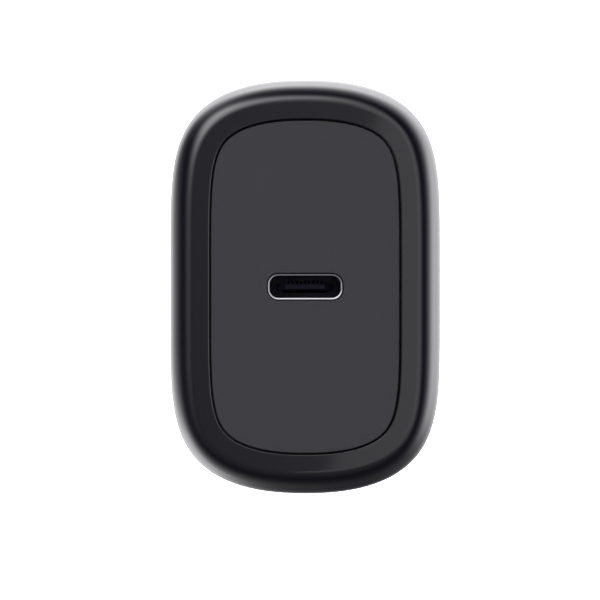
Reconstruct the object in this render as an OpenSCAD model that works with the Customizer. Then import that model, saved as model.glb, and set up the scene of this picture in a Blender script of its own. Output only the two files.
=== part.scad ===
// USB-C wall charger with a fixed two-pin plug, as a set of separate moulded, stamped and wound pieces.
// +Y runs along the plug pins into the wall socket, -Y faces the user, and +Z is up.
// The origin is the middle of the flat plug face that meets the socket, halfway between the two pins.

/* [Housing] */
// Width across the two long sides
body_w = 32; // [32:0.5:35]
// Height between the two rounded ends
body_h = 49; // [49:0.5:53]
// Depth from the front ring to the rear face, without the plug
body_d = 40; // [40:0.5:46]
// Fullness of the long sides, where 2 is an ellipse and more is squarer
side_power = 2.3; // [2.2:0.05:2.6]
// Fullness of the rounded ends
end_power = 5.2; // [4.8:0.1:6]
// Thickness of the housing wall
wall = 1.8; // [1.6:0.1:1.8]
// Radius of the edge around the front ring
front_edge = 2.75; // [2.4:0.05:2.8]
// Radius of the edge around the rear face
rear_edge = 3; // [2:0.1:3]

/* [Front panel] */
// Distance from the housing's side to the groove around the panel
groove_inset = 4.65; // [4.5:0.01:4.8]
// Width of the groove around the panel
groove_w = 0.25; // [0.15:0.05:0.3]
// How far the panel's face lies behind the ring
panel_recess = 0.1; // [0.05:0.05:0.2]

/* [USB-C socket] */
// Width of the opening that takes the plug
port_w = 8.34; // [8.3:0.01:8.4]
// Height of the opening that takes the plug
port_h = 2.56; // [2.5:0.01:2.6]
// Radius of the opening's four corners
port_corner = 1; // [0.9:0.05:1.2]
// Thickness of the drawn steel shell
port_wall = 0.3; // [0.25:0.01:0.3]

/* [Plug] */
// Length of the narrow part that reaches into a recessed socket
snout_d = 18; // [17:0.5:20]
// Distance between the axes of the two pins
pin_pitch = 19; // [18.6:0.1:19.2]
// Radius of a pin's bare metal end
pin_r = 2; // [1.97:0.01:2.03]
// Length of a pin beyond the plug face
pin_l = 19; // [18.5:0.1:19.5]
// Length of the insulating sleeve beyond the plug face
sleeve_l = 10; // [9:0.5:11]

/* [Hidden] */
$fn = 48;

// Places along the depth
rear_y = -snout_d;
front_y = rear_y - body_d;
seam_y = rear_y - 5;
seam_bevel = 0.2;
flange_t = 2;
flange_back = front_y + flange_t;
spigot_depth = 4;
spigot_gap = 0.05;
spigot_t = 1.4;
rear_wall = 2;

// Steps that draw the curved outlines
rim_steps = 96;
edge_steps = 6;
small_steps = 3;

// Outline of the part that reaches into a recessed socket
snout_w = 13.7;
snout_h = 35.3;
snout_flat = 26.1;
snout_corner_power = 26;
snout_foot = 1.5;
snout_edge = 0.8;
snout_wall = 1.5;
ledge_w = 0.8;
ledge_t = 1.2;
carrier_t = 4;
carrier_gap = 0.05;

// Plug pins
pin_neck_r = 1.45;
pin_head_r = 2.6;
pin_head_t = 1.5;
pin_tail = -13;
pin_hole_r = 1.86;
sleeve_r = 1.8;
sleeve_bore = 1.47;
boss_r = 3.9;
boss_depth = 3;

// Boards: the main one stands on edge, and the port board is square to it
board_t = 1.2;
board_x = -10.8;
solder_x = board_x - board_t;
board_half_h = 17;
board_front = front_y + 8;
board_rear = rear_y - 3.4;
port_board_y = front_y + 9.6;
port_board_w = 12;
port_board_h = 18;
rail_t = 0.9;
rail_reach = 16.3;

// USB-C socket
port_y = front_y + 0.15;
port_gap = 0.15;
port_base_y = port_y + 6.3;
tongue_w = 6.69;
tongue_t = 0.7;
tongue_y = port_y + 0.95;
tongue_tip = 1.05;
contact_pitch = 0.5;
contact_count = 12;
contact_front = 1.2;
port_leg = [0.9, 0.35];
port_leg_z = 1;

// Leads and where they pass through the main board, as [y, z]
lead_r = 0.3;
lead_hole_r = 0.42;
lead_tail = 0.6;
bulk_r = 5;
bulk_l = 20;
bulk_x = 7.7;
bulk_y = [rear_y - 20.4, rear_y - 9.7];
bulk_lead_z = bulk_l / 2 + 0.9;
bulk_spacing = 5;
output_at = [rear_y - 24.2, 7.2];
output_r = 4;
output_l = 12;
film_at = [rear_y - 10.2, -10.5];
film_size = [11, 5.2, 11];
disc_at = [rear_y - 25, 14.4];
disc_r = 3.4;
disc_t = 2.8;
choke_at = [rear_y - 5.85, -10.5];
choke_x = -5.2;
choke_r = 3.2;
choke_side = 2.4;
choke_turns = 5;
choke_wire = 0.22;
choke_loop = 1.97;
drum_at = [rear_y - 14.8, 12.4];
drum_r = 2.4;
drum_h = 9;
fuse_at = [rear_y - 5.5, 5.5];
fuse_r = 1.6;
fuse_l = 8.4;
thermistor_at = [rear_y - 5.6, 14.3];
thermistor_r = 2.7;
thermistor_t = 2.4;
core_y = rear_y - 20.8;
core_z = -7.5;
core_size = [5, 14.5, 17];
core_leg = 2.3;
core_back = 3;
core_middle = 4;
core_x = -4;
bobbin_wall = 0.6;
bobbin_flange = 0.8;
winding_size = [11.6, 9];
core_pin_y = [-3.6, 0, 3.6];

function pair(at, gap) = [[at[0], at[1] - gap / 2], [at[0], at[1] + gap / 2]];
bulk_leads = [for (y = bulk_y, s = [-1, 1]) [y + s * bulk_spacing / 2, bulk_lead_z]];
output_leads = pair(output_at, 3.5);
film_leads = pair(film_at, 7.5);
disc_leads = [for (s = [-1, 1]) [disc_at[0] + s * 2.5, disc_at[1]]];
choke_leads = [for (s = [-1, 1], t = [-1, 1]) [choke_at[0] + s * 1.4, choke_at[1] + t * 4]];
drum_leads = pair(drum_at, 2.5);
fuse_leads = pair(fuse_at, fuse_l + 1.8);
thermistor_leads = pair(thermistor_at, 3.4);
core_leads = [for (y = core_pin_y, s = [-1, 1]) [core_y + y, core_z + s * 6.9]];
all_leads = concat(bulk_leads, output_leads, film_leads, disc_leads, choke_leads, drum_leads,
    fuse_leads, thermistor_leads, core_leads);

// --- Outlines ---------------------------------------------------------------------------------

// Distance from the middle to the housing's outline |x/a|^p + |z/b|^q = 1, by halving
function rim_radius(angle, low = 0, high = body_h, steps = 30) =
    let (middle = (low + high) / 2,
         x = abs(middle * cos(angle)) / (body_w / 2),
         z = abs(middle * sin(angle)) / (body_h / 2),
         outside = pow(x, side_power) + pow(z, end_power) > 1)
    steps == 0 ? middle
    : outside ? rim_radius(angle, low, middle, steps - 1)
    : rim_radius(angle, middle, high, steps - 1);

// A point of the outline, moved inwards along the normal
function rim_point(angle, inset) =
    let (r = rim_radius(angle),
         x = r * cos(angle),
         z = r * sin(angle),
         slope = [sign(x) * side_power / body_w * pow(abs(x) * 2 / body_w, side_power - 1),
                  sign(z) * end_power / body_h * pow(abs(z) * 2 / body_h, end_power - 1)])
    [x, z] - inset * slope / norm(slope);

// A six-sided outline with soft corners: the sides' distances are blended by a high power
function snout_point(angle, inset) =
    let (c = abs(cos(angle)),
         s = abs(sin(angle)),
         slant = (snout_w + snout_flat) / 2 / sqrt(2),
         q = snout_corner_power,
         sum = pow(c / (snout_w / 2 - inset), q) + pow(s / (snout_h / 2 - inset), q)
             + pow((c + s) / sqrt(2) / (slant - inset), q))
    pow(sum, -1 / q) * [cos(angle), sin(angle)];

// The socket's slot, widened by a margin: where a ray from its middle meets a side, an end or a corner
function slot_point(angle, margin) =
    let (r = port_corner + margin,
         w = port_w / 2 - port_corner,
         h = port_h / 2 - port_corner,
         c = abs(cos(angle)),
         s = abs(sin(angle)),
         reach = (h + r) * c <= w * s ? (h + r) / s
             : (w + r) * s <= h * c ? (w + r) / c
             : w * c + h * s + sqrt(r * r - pow(w * s - h * c, 2)))
    reach * [cos(angle), sin(angle)];

function around() = [for (i = [0:rim_steps - 1]) 360 * i / rim_steps];
function rim(inset) = [for (a = around()) rim_point(a, inset)];
function snout(inset) = [for (a = around()) snout_point(a, inset)];
function slot_ring(margin, y) = at_depth([for (a = around()) slot_point(a, margin)], y);
function at_depth(points, y) = [for (p = points) [p[0], y, p[1]]];
function rim_ring(station) = at_depth(rim(station[0]), station[1]);
function snout_ring(station) = at_depth(snout(station[0]), station[1]);
function arc(middle, r, from, to, steps) =
    [for (k = [0:steps]) let (a = from + (to - from) * k / steps) middle + r * [cos(a), sin(a)]];

// --- Solids from outlines -----------------------------------------------------------------------

function band(n, k, next) =
    [for (i = [0:n - 1]) let (j = (i + 1) % n)
        each [[k * n + i, k * n + j, next * n + j], [k * n + i, next * n + j, next * n + i]]];

// A hollow solid whose rings run round its wall and back to the first
module loft_wall(rings) {
    n = len(rings[0]);
    polyhedron(
        points = [for (ring = rings) each ring],
        faces = [for (k = [0:len(rings) - 1]) each band(n, k, (k + 1) % len(rings))]);
}

// Extrudes a shape drawn in x and z from one depth to another
module slab(y0, y1) translate([0, y1, 0]) rotate([90, 0, 0]) linear_extrude(y1 - y0) children();

module box(low, high) translate(low) cube(high - low);

module rod_y(r, y0, y1) translate([0, y0, 0]) rotate([-90, 0, 0]) cylinder(r = r, h = y1 - y0);

module rod_x(r, x0, x1) translate([x0, 0, 0]) rotate([0, 90, 0]) cylinder(r = r, h = x1 - x0);

// The socket's slot as a flat shape, widened by a margin
module slot_shape(margin) {
    r = port_corner + margin;
    w = port_w / 2 - port_corner;
    h = port_h / 2 - port_corner;
    square([2 * w, 2 * (h + r)], center = true);
    square([2 * (w + r), 2 * h], center = true);
    for (sx = [-1, 1], sz = [-1, 1]) translate([sx * w, sz * h]) circle(r = r);
}

// Straight leads from a height above the board to just past its solder side
module leads(places, top) for (p = places) translate([0, p[0], p[1]]) rod_x(lead_r, solder_x - lead_tail, top);

// --- Housing -------------------------------------------------------------------------------------

// Outer sleeve: front ring, rounded front edge, side wall and an inner flange behind the ring
module housing_shell() {
    lip = 0.08;
    profile = concat(
        [[groove_inset, flange_back]],
        arc([groove_inset - lip, front_y + lip], lip, 0, -90, small_steps),
        arc([front_edge, front_y + front_edge], front_edge, 270, 180, edge_steps),
        [[0, seam_y - seam_bevel], [seam_bevel, seam_y], [wall, seam_y], [wall, flange_back]]);
    color([0.09, 0.09, 0.10]) union() {
        loft_wall([for (station = profile) rim_ring(station)]);
        board_rails();
    }
}

// Two pairs of ribs that the main board's edges slide between, ending halfway through the wall
module board_rails() {
    offset = (board_t + rail_t) / 2 + 0.05;
    for (side = [-1, 1]) {
        x = (solder_x + board_x) / 2 + side * offset;
        top = body_h / 2 * pow(1 - pow(abs(x) * 2 / body_w, side_power), 1 / end_power) - 0.6 * wall;
        for (end = [0, 1]) mirror([0, 0, end])
            box([x - rail_t / 2, board_front, rail_reach], [x + rail_t / 2, seam_y - spigot_depth - 0.3, top]);
    }
}

// Matte inlay behind the ring, hollowed out at the back, with the slot for the socket
module front_panel() {
    inset = groove_inset + groove_w;
    face_y = front_y + panel_recess;
    lip = 0.07;
    back = flange_back + 0.8;
    floor_y = face_y + 1.7;
    slot = port_wall + port_gap;
    collar = slot + 1.5;
    profile = concat(
        arc([inset + lip, face_y + lip], lip, 270, 180, small_steps),
        [[inset, flange_back], [wall + 0.9, flange_back], [wall + 0.9, back], [inset + 1.6, back],
         [inset + 1.6, floor_y]]);
    color([0.26, 0.26, 0.275]) loft_wall(concat(
        [slot_ring(slot, face_y)],
        [for (station = profile) rim_ring(station)],
        [slot_ring(collar, floor_y), slot_ring(collar, back), slot_ring(slot, back)]));
}

// Rear moulding: plugs into the sleeve, narrows to the plug and has a ledge for the pin carrier
module rear_cover() {
    spigot = wall + spigot_gap;
    floor_y = rear_y - rear_wall;
    mouth = [[snout_wall, 0], [snout_wall, -carrier_t], [snout_wall + ledge_w, -carrier_t],
             [snout_wall + ledge_w, -carrier_t - ledge_t], [snout_wall, -carrier_t - ledge_t - ledge_w],
             [snout_wall, floor_y]];
    back = concat(
        [[spigot + spigot_t, floor_y], [spigot + spigot_t, seam_y - spigot_depth],
         [spigot, seam_y - spigot_depth], [spigot, seam_y], [seam_bevel, seam_y]],
        arc([rear_edge, rear_y - rear_edge], rear_edge, 180, 90, edge_steps));
    snout_side = concat(
        arc([-snout_foot, rear_y + snout_foot], snout_foot, -90, 0, small_steps),
        arc([snout_edge, -snout_edge], snout_edge, 180, 90, small_steps));
    color([0.09, 0.09, 0.10]) loft_wall(concat(
        [for (station = mouth) snout_ring(station)],
        [for (station = back) rim_ring(station)],
        [for (station = snout_side) snout_ring(station)]));
}

// Plate that closes the narrow part, with a boss and a stepped hole for each pin
module pin_carrier() {
    color([0.09, 0.09, 0.10]) difference() {
        union() {
            slab(-carrier_t, 0) polygon(snout(snout_wall + carrier_gap));
            for (end = [-1, 1]) translate([0, 0, end * pin_pitch / 2])
                rod_y(boss_r, -carrier_t - boss_depth, -carrier_t + 0.5);
        }
        for (end = [-1, 1]) translate([0, 0, end * pin_pitch / 2]) {
            rod_y(pin_hole_r, -carrier_t - 1, 1);
            rod_y(pin_head_r + 0.03, -carrier_t - boss_depth - 1, -carrier_t);
        }
    }
}

// --- Plug ----------------------------------------------------------------------------------------

// Nickel-plated brass pin with a round tip, a thin neck under the sleeve and a shoulder in the boss
module plug_pin(end) {
    head_y = -carrier_t - 0.02;
    color([0.78, 0.77, 0.74]) translate([0, 0, end * pin_pitch / 2]) {
        rod_y(pin_r, sleeve_l, pin_l - pin_r);
        translate([0, pin_l - pin_r, 0]) sphere(pin_r);
        rod_y(pin_neck_r, pin_tail, sleeve_l + 1);
        rod_y(pin_head_r, head_y - pin_head_t, head_y);
    }
}

// Insulating sleeve moulded round the neck of a pin
module pin_sleeve(end) {
    color([0.05, 0.05, 0.055]) translate([0, 0, end * pin_pitch / 2]) difference() {
        rod_y(sleeve_r, -carrier_t, sleeve_l - 0.02);
        rod_y(sleeve_bore, -carrier_t - 1, sleeve_l + 1);
    }
}

// Bent bronze strip from the board's rear edge to the tail of a pin
module pin_contact(end) {
    t = 0.3;
    half_w = 2;
    color([0.72, 0.48, 0.26]) translate([0, 0, end * pin_pitch / 2]) {
        box([solder_x, board_rear, -half_w], [-pin_neck_r, board_rear + t, half_w]);
        box([-pin_neck_r - t, board_rear, -half_w], [-pin_neck_r, pin_tail + 5, half_w]);
    }
}

// --- Boards --------------------------------------------------------------------------------------

module main_board() {
    color([0.08, 0.33, 0.17]) difference() {
        box([solder_x, board_front, -board_half_h], [board_x, board_rear, board_half_h]);
        for (p = all_leads) translate([0, p[0], p[1]]) rod_x(lead_hole_r, solder_x - 1, board_x + 1);
        for (end = [-1, 1]) port_tab(end, 0.08);
    }
}

// Tongues of the port board that plug into slots of the main board
module port_tab(end, gap) {
    z = end * 5.5;
    box([solder_x - 0.3 - gap, port_board_y - gap, z - 1.2 - gap],
        [board_x + gap, port_board_y + board_t + gap, z + 1.2 + gap]);
}

module port_board() {
    color([0.08, 0.33, 0.17]) difference() {
        union() {
            box([board_x, port_board_y, -port_board_h / 2], [port_board_w, port_board_y + board_t, port_board_h / 2]);
            for (end = [-1, 1]) port_tab(end, 0);
        }
        port_legs(0.12, port_board_y - 1, port_board_y + board_t + 1);
    }
}

// --- USB-C socket --------------------------------------------------------------------------------

// The four legs that pass through the port board
module port_legs(gap, y0, y1) {
    x = port_w / 2 + port_wall / 2;
    for (sx = [-1, 1], sz = [-1, 1]) translate([sx * (x - 0.5), 0, sz * port_leg_z])
        box([-port_leg[0] / 2 - gap, y0, -port_leg[1] / 2 - gap], [port_leg[0] / 2 + gap, y1, port_leg[1] / 2 + gap]);
}

module usb_shell() {
    color([0.8, 0.8, 0.82]) {
        difference() {
            slab(port_y, port_board_y - 0.6) slot_shape(port_wall);
            slab(port_y - 1, port_board_y) slot_shape(0);
        }
        difference() {
            port_legs(0, port_board_y - 1.4, port_board_y + board_t + 0.7);
            slab(port_y, port_board_y - 0.6) slot_shape(0.01);
        }
    }
}

// Black insulator: a block that fills the back of the shell, and the tongue that carries the contacts
module usb_tongue() {
    gap = 0.03;
    tip_w = tongue_w - 2 * tongue_tip;
    color([0.06, 0.06, 0.065]) difference() {
        union() {
            slab(port_base_y, port_board_y) slot_shape(-gap);
            translate([0, 0, -tongue_t / 2]) linear_extrude(tongue_t) polygon([
                [-tongue_w / 2, port_base_y + 0.1], [-tongue_w / 2, tongue_y + tongue_tip],
                [-tip_w / 2, tongue_y], [tip_w / 2, tongue_y],
                [tongue_w / 2, tongue_y + tongue_tip], [tongue_w / 2, port_base_y + 0.1]]);
        }
        port_legs(0.05, port_board_y - 1.5, port_board_y + 1);
    }
}

module usb_contacts() {
    t = 0.06;
    w = 0.25;
    color([0.85, 0.66, 0.3])
        for (side = [-1, 1], k = [0:contact_count - 1])
            translate([(k - (contact_count - 1) / 2) * contact_pitch, 0, side * (tongue_t / 2 + t / 2)])
                translate([-w / 2, tongue_y + contact_front, -t / 2])
                    cube([w, port_base_y - 0.05 - tongue_y - contact_front, t]);
}

// --- Transformer ---------------------------------------------------------------------------------

// Two E-shaped ferrite halves that meet in the middle of the bobbin
module transformer_core() {
    glue = 0.05;
    half_w = core_size[1] / 2;
    half_l = core_size[2] / 2;
    color([0.16, 0.16, 0.17]) translate([core_x, core_y, core_z])
        for (end = [0, 1]) mirror([0, 0, end]) translate([-core_size[0] / 2, 0, 0]) {
            translate([0, -half_w, half_l - core_back]) cube([core_size[0], core_size[1], core_back]);
            for (side = [-1, 1]) translate([0, side * (half_w - core_leg / 2) - core_leg / 2, glue / 2])
                cube([core_size[0], core_leg, half_l - glue / 2 - 0.1]);
            translate([0, -core_middle / 2, glue / 2]) cube([core_size[0], core_middle, half_l - glue / 2 - 0.1]);
        }
}

module transformer_bobbin() {
    clear = 0.15;
    bore = [core_size[0] + 2 * clear, core_middle + 2 * clear];
    half_l = core_size[2] / 2 - core_back - 0.1;
    foot_z = 6.9;
    color([0.07, 0.07, 0.08]) translate([core_x, core_y, core_z]) {
        difference() {
            union() {
                translate([0, 0, -half_l]) linear_extrude(2 * half_l)
                    square([bore[0] + 2 * bobbin_wall, bore[1] + 2 * bobbin_wall], center = true);
                for (end = [-1, 1]) translate([0, 0, end * (half_l - bobbin_flange / 2)])
                    cube([winding_size[0], winding_size[1] + 0.3, bobbin_flange], center = true);
                for (end = [-1, 1]) translate([board_x - core_x + 0.1, -5, end * foot_z - 1.3])
                    cube([core_x - board_x - core_size[0] / 2 - 0.25, 10, 2.6]);
            }
            translate([0, 0, -half_l - 1]) linear_extrude(2 * half_l + 2) square(bore, center = true);
            translate([-winding_size[0] / 2 - 0.3, -winding_size[1] / 2 - 0.3, -half_l + bobbin_flange])
                difference() {
                    cube([winding_size[0] / 2, winding_size[1] + 0.6, 2 * (half_l - bobbin_flange)]);
                    translate([winding_size[0] / 2 + 0.3 - bore[0] / 2 - bobbin_wall, -1, -1])
                        cube([winding_size[0], winding_size[1] + 3, 2 * half_l]);
                }
        }
    }
    color([0.8, 0.8, 0.8]) leads(core_leads, board_x + 0.9);
}

// Copper turns under yellow tape, drawn as the taped outer shape
module transformer_winding() {
    clear = 0.18;
    half_l = core_size[2] / 2 - core_back - 0.1 - bobbin_flange - 0.05;
    inner = [core_size[0] + 2 * (bobbin_wall + clear), core_middle + 2 * (bobbin_wall + clear)];
    round_r = 1.5;
    color([0.86, 0.7, 0.12]) translate([core_x, core_y, core_z]) difference() {
        translate([0, 0, -half_l]) linear_extrude(2 * half_l) {
            square([winding_size[0] - 2 * round_r - 0.8, winding_size[1] - 0.4], center = true);
            square([winding_size[0] - 0.8, winding_size[1] - 2 * round_r - 0.4], center = true);
            for (sx = [-1, 1], sy = [-1, 1])
                translate([sx * (winding_size[0] / 2 - round_r - 0.4), sy * (winding_size[1] / 2 - round_r - 0.2)])
                    circle(round_r);
        }
        translate([0, 0, -half_l - 1]) linear_extrude(2 * half_l + 2) square(inner, center = true);
    }
}

// --- Capacitors ----------------------------------------------------------------------------------

// Aluminium can lying along z, with a crimp, a rubber bung end and two bent leads
module bulk_capacitor(k) {
    can_r = bulk_r - 0.2;
    color([0.75, 0.76, 0.78]) translate([bulk_x, bulk_y[k], 0]) {
        difference() {
            translate([0, 0, -bulk_l / 2]) cylinder(r = can_r, h = bulk_l);
            translate([0, 0, bulk_l / 2 - 2]) rotate_extrude() translate([can_r + 0.2, 0]) circle(0.6);
            for (turn = [0, 90]) translate([0, 0, -bulk_l / 2]) rotate([0, 0, turn + 45]) cube([6, 0.3, 0.4], center = true);
        }
        for (s = [-1, 1]) translate([0, s * bulk_spacing / 2, 0]) {
            translate([0, 0, bulk_l / 2 - 0.1]) cylinder(r = lead_r, h = bulk_lead_z - bulk_l / 2 + 0.1);
            translate([0, 0, bulk_lead_z]) sphere(lead_r);
        }
    }
    color([0.8, 0.8, 0.8])
        for (s = [-1, 1]) translate([0, bulk_y[k] + s * bulk_spacing / 2, bulk_lead_z])
            rod_x(lead_r, solder_x - lead_tail, bulk_x);
}

// Printed plastic sleeve shrunk over a can
module bulk_sleeve(k) {
    color([0.06, 0.08, 0.16]) translate([bulk_x, bulk_y[k], 0]) difference() {
        translate([0, 0, -bulk_l / 2 - 0.15]) cylinder(r = bulk_r, h = bulk_l + 0.05);
        translate([0, 0, -bulk_l / 2 - 0.02]) cylinder(r = bulk_r - 0.18, h = bulk_l + 1);
        translate([0, 0, -bulk_l / 2 - 1]) cylinder(r = bulk_r - 1, h = 2);
    }
}

// Polymer can that stands on the board
module output_capacitor() {
    color([0.78, 0.79, 0.8]) {
        translate([0, output_at[0], output_at[1]]) {
            difference() {
                rod_x(output_r, board_x + 0.3, board_x + 0.3 + output_l);
                translate([board_x + 2, 0, 0]) rotate([0, 90, 0]) rotate_extrude() translate([output_r + 0.25, 0]) circle(0.6);
            }
        }
        leads(output_leads, board_x + 1);
    }
}

module film_capacitor() {
    low = [board_x + 0.2, film_at[0] - film_size[1] / 2, film_at[1] - film_size[2] / 2];
    color([0.86, 0.78, 0.3]) {
        box(low, low + film_size);
        leads(film_leads, board_x + 1);
    }
}

module disc_capacitor() {
    color([0.12, 0.32, 0.62]) {
        translate([board_x + disc_r + 1, disc_at[0], disc_at[1] - disc_t / 2]) cylinder(r = disc_r, h = disc_t);
        leads(disc_leads, board_x + disc_r);
    }
}

// --- Coils ---------------------------------------------------------------------------------------

module choke_core() {
    color([0.18, 0.19, 0.18]) translate([choke_x, choke_at[0], choke_at[1]]) rotate([90, 0, 0])
        rotate_extrude() translate([choke_r, 0]) square(choke_side, center = true);
}

// Two windings of single turns, one on each side of the ring
module choke_winding() {
    color([0.75, 0.38, 0.16]) {
        translate([choke_x, choke_at[0], choke_at[1]])
            for (side = [0, 180], k = [0:choke_turns - 1])
                rotate([0, side + 30 * (k - (choke_turns - 1) / 2), 0])
                    translate([choke_r, 0, 0]) rotate_extrude() translate([choke_loop, 0]) circle(choke_wire);
        leads(choke_leads, board_x + 1.8);
    }
}

module drum_core() {
    color([0.16, 0.16, 0.17]) translate([0, drum_at[0], drum_at[1]]) {
        rod_x(drum_r, board_x + 0.2, board_x + 1.6);
        rod_x(drum_r * 0.45, board_x + 1, board_x + drum_h - 1);
        rod_x(drum_r, board_x + drum_h - 1.2, board_x + drum_h);
    }
}

module drum_winding() {
    color([0.75, 0.38, 0.16]) {
        translate([0, drum_at[0], drum_at[1]]) difference() {
            rod_x(drum_r - 0.25, board_x + 1.65, board_x + drum_h - 1.25);
            rod_x(drum_r * 0.45 + 0.02, board_x, board_x + drum_h);
        }
        leads(drum_leads, board_x + 0.15);
    }
}

// --- Small parts on the main board -----------------------------------------------------------------

module input_fuse() {
    lift = board_x + fuse_r + 0.6;
    half_l = fuse_l / 2;
    color([0.85, 0.84, 0.8]) translate([lift, fuse_at[0], fuse_at[1] - half_l + 1.4]) cylinder(r = fuse_r - 0.1, h = fuse_l - 2.8);
    color([0.7, 0.7, 0.72]) {
        for (end = [0, 1]) translate([lift, fuse_at[0], fuse_at[1]]) mirror([0, 0, end]) {
            translate([0, 0, half_l - 1.4]) cylinder(r = fuse_r, h = 1.4);
            translate([0, 0, half_l - 0.1]) cylinder(r = lead_r, h = 1);
            translate([0, 0, half_l + 0.9]) sphere(lead_r);
        }
        leads(fuse_leads, lift);
    }
}

module thermistor() {
    color([0.10, 0.12, 0.10]) {
        translate([board_x + thermistor_r + 0.8, thermistor_at[0], thermistor_at[1]])
            rod_y(thermistor_r, -thermistor_t / 2, thermistor_t / 2);
        leads(thermistor_leads, board_x + thermistor_r);
    }
}

// A flat chip on a face of a board, with a row of feet along two sides
module chip(size, pins, pitch) {
    foot = 0.7;
    color([0.06, 0.06, 0.065]) translate([0, 0, 0.1 + size[2] / 2]) cube([size[0], size[1], size[2]], center = true);
    color([0.8, 0.8, 0.8]) for (side = [-1, 1], k = [0:pins - 1])
        translate([(k - (pins - 1) / 2) * pitch, side * (size[1] / 2 + foot / 2 - 0.2), 0.15])
            cube([pitch * 0.4, foot, 0.3], center = true);
}

module on_component_side(y, z) translate([board_x, y, z]) rotate([0, 90, 0]) children();
module on_solder_side(y, z) translate([solder_x, y, z]) rotate([0, -90, 0]) children();
module on_port_board(x, z) translate([x, port_board_y, z]) rotate([90, 0, 0]) children();

module bridge_rectifier() on_component_side(rear_y - 10.2, 5.6) chip([4.6, 3.8, 2.2], 2, 2.5);
module optocoupler() on_component_side(rear_y - 16, 5.2) chip([4.4, 3.4, 1.9], 2, 2.54);
module control_chip() on_solder_side(rear_y - 14, 4) chip([4.9, 3.9, 0.7], 4, 1.27);
module rectifier_chip() on_solder_side(rear_y - 26, 11.5) chip([4.9, 3.9, 0.7], 4, 1.27);
module port_chip() on_port_board(0, 5.6) chip([4, 3, 0.8], 7, 0.5);

// A chip resistor or capacitor: a body between two slightly thicker metal ends
module chip_part(length, width, height) {
    end_l = 0.2 * length;
    translate([-length / 2 + 0.01, -width / 2 + 0.03, 0.05]) cube([length - 0.02, width - 0.06, height - 0.06]);
    for (x = [-length / 2, length / 2 - end_l]) translate([x, -width / 2, 0.02]) cube([end_l, width, height]);
}

module chip_resistors() {
    color([0.08, 0.08, 0.09]) {
        for (z = [-4.5, -2, 0.5]) on_solder_side(rear_y - 9.5, z) chip_part(1.6, 0.8, 0.45);
        for (y = [-19, -21]) on_solder_side(rear_y + y, 3.4) chip_part(3.2, 1.6, 0.55);
        for (x = [-6, -4.4]) on_port_board(x, 5) chip_part(0.8, 1.6, 0.45);
    }
}

module chip_capacitors() {
    color([0.62, 0.5, 0.36]) {
        for (z = [-4.5, -2]) on_solder_side(rear_y - 12, z) chip_part(1.6, 0.8, 0.7);
        for (z = [-1, 2]) on_solder_side(rear_y - 27.5, z) chip_part(3.2, 1.6, 0.7);
        for (x = [4.4, 6]) on_port_board(x, 5) chip_part(0.8, 1.6, 0.7);
        for (x = [-3, 3]) on_port_board(x, -4.6) chip_part(2, 1.2, 0.7);
    }
}

// A cone of solder round each lead
module solder_joints() {
    fillet_h = 0.45;
    color([0.72, 0.73, 0.75]) for (p = all_leads)
        translate([solder_x, p[0], p[1]]) rotate([0, -90, 0]) difference() {
            cylinder(r1 = 0.8, r2 = 0.42, h = fillet_h);
            translate([0, 0, -1]) cylinder(r = lead_r + 0.01, h = 3);
        }
}

// Sheet that keeps the solder side away from the housing wall
module insulating_sheet() {
    t = 0.25;
    color([0.85, 0.84, 0.8]) box([solder_x - 1 - t, board_front + 0.5, -14.2], [solder_x - 1, board_rear - 1.5, 14.2]);
}

housing_shell();
front_panel();
rear_cover();
pin_carrier();
plug_pin(1);  // plug_pin_upper
plug_pin(-1);  // plug_pin_lower
pin_sleeve(1);  // pin_sleeve_upper
pin_sleeve(-1);  // pin_sleeve_lower
pin_contact(1);  // pin_contact_upper
pin_contact(-1);  // pin_contact_lower
main_board();
port_board();
usb_shell();
usb_tongue();
usb_contacts();
transformer_core();
transformer_bobbin();
transformer_winding();
bulk_capacitor(0);  // bulk_capacitor_front
bulk_sleeve(0);  // bulk_sleeve_front
bulk_capacitor(1);  // bulk_capacitor_rear
bulk_sleeve(1);  // bulk_sleeve_rear
output_capacitor();
film_capacitor();
disc_capacitor();
choke_core();
choke_winding();
drum_core();
drum_winding();
input_fuse();
thermistor();
bridge_rectifier();
optocoupler();
control_chip();
rectifier_chip();
port_chip();
chip_resistors();
chip_capacitors();
solder_joints();
insulating_sheet();
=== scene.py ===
# %% [markdown]
# # A USB-C wall charger
#
# This lesson builds the looks of a small upright wall charger: a gloss-black body with soft
# corners, a matte dark grey panel let into its front, one USB-C socket, and a plug with two round
# pins behind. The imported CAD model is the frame. Its boards and wound parts stay as they are and
# only get finishes. The moulded and drawn pieces that catch the light are made again here with
# finer surfaces, in the same places.
#
# The frame is in metres. +Y runs along the pins, -Y is the front that the user sees, +Z is up,
# and the origin is the middle of the flat plug face.

# %% Load the frame
import math

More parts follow.
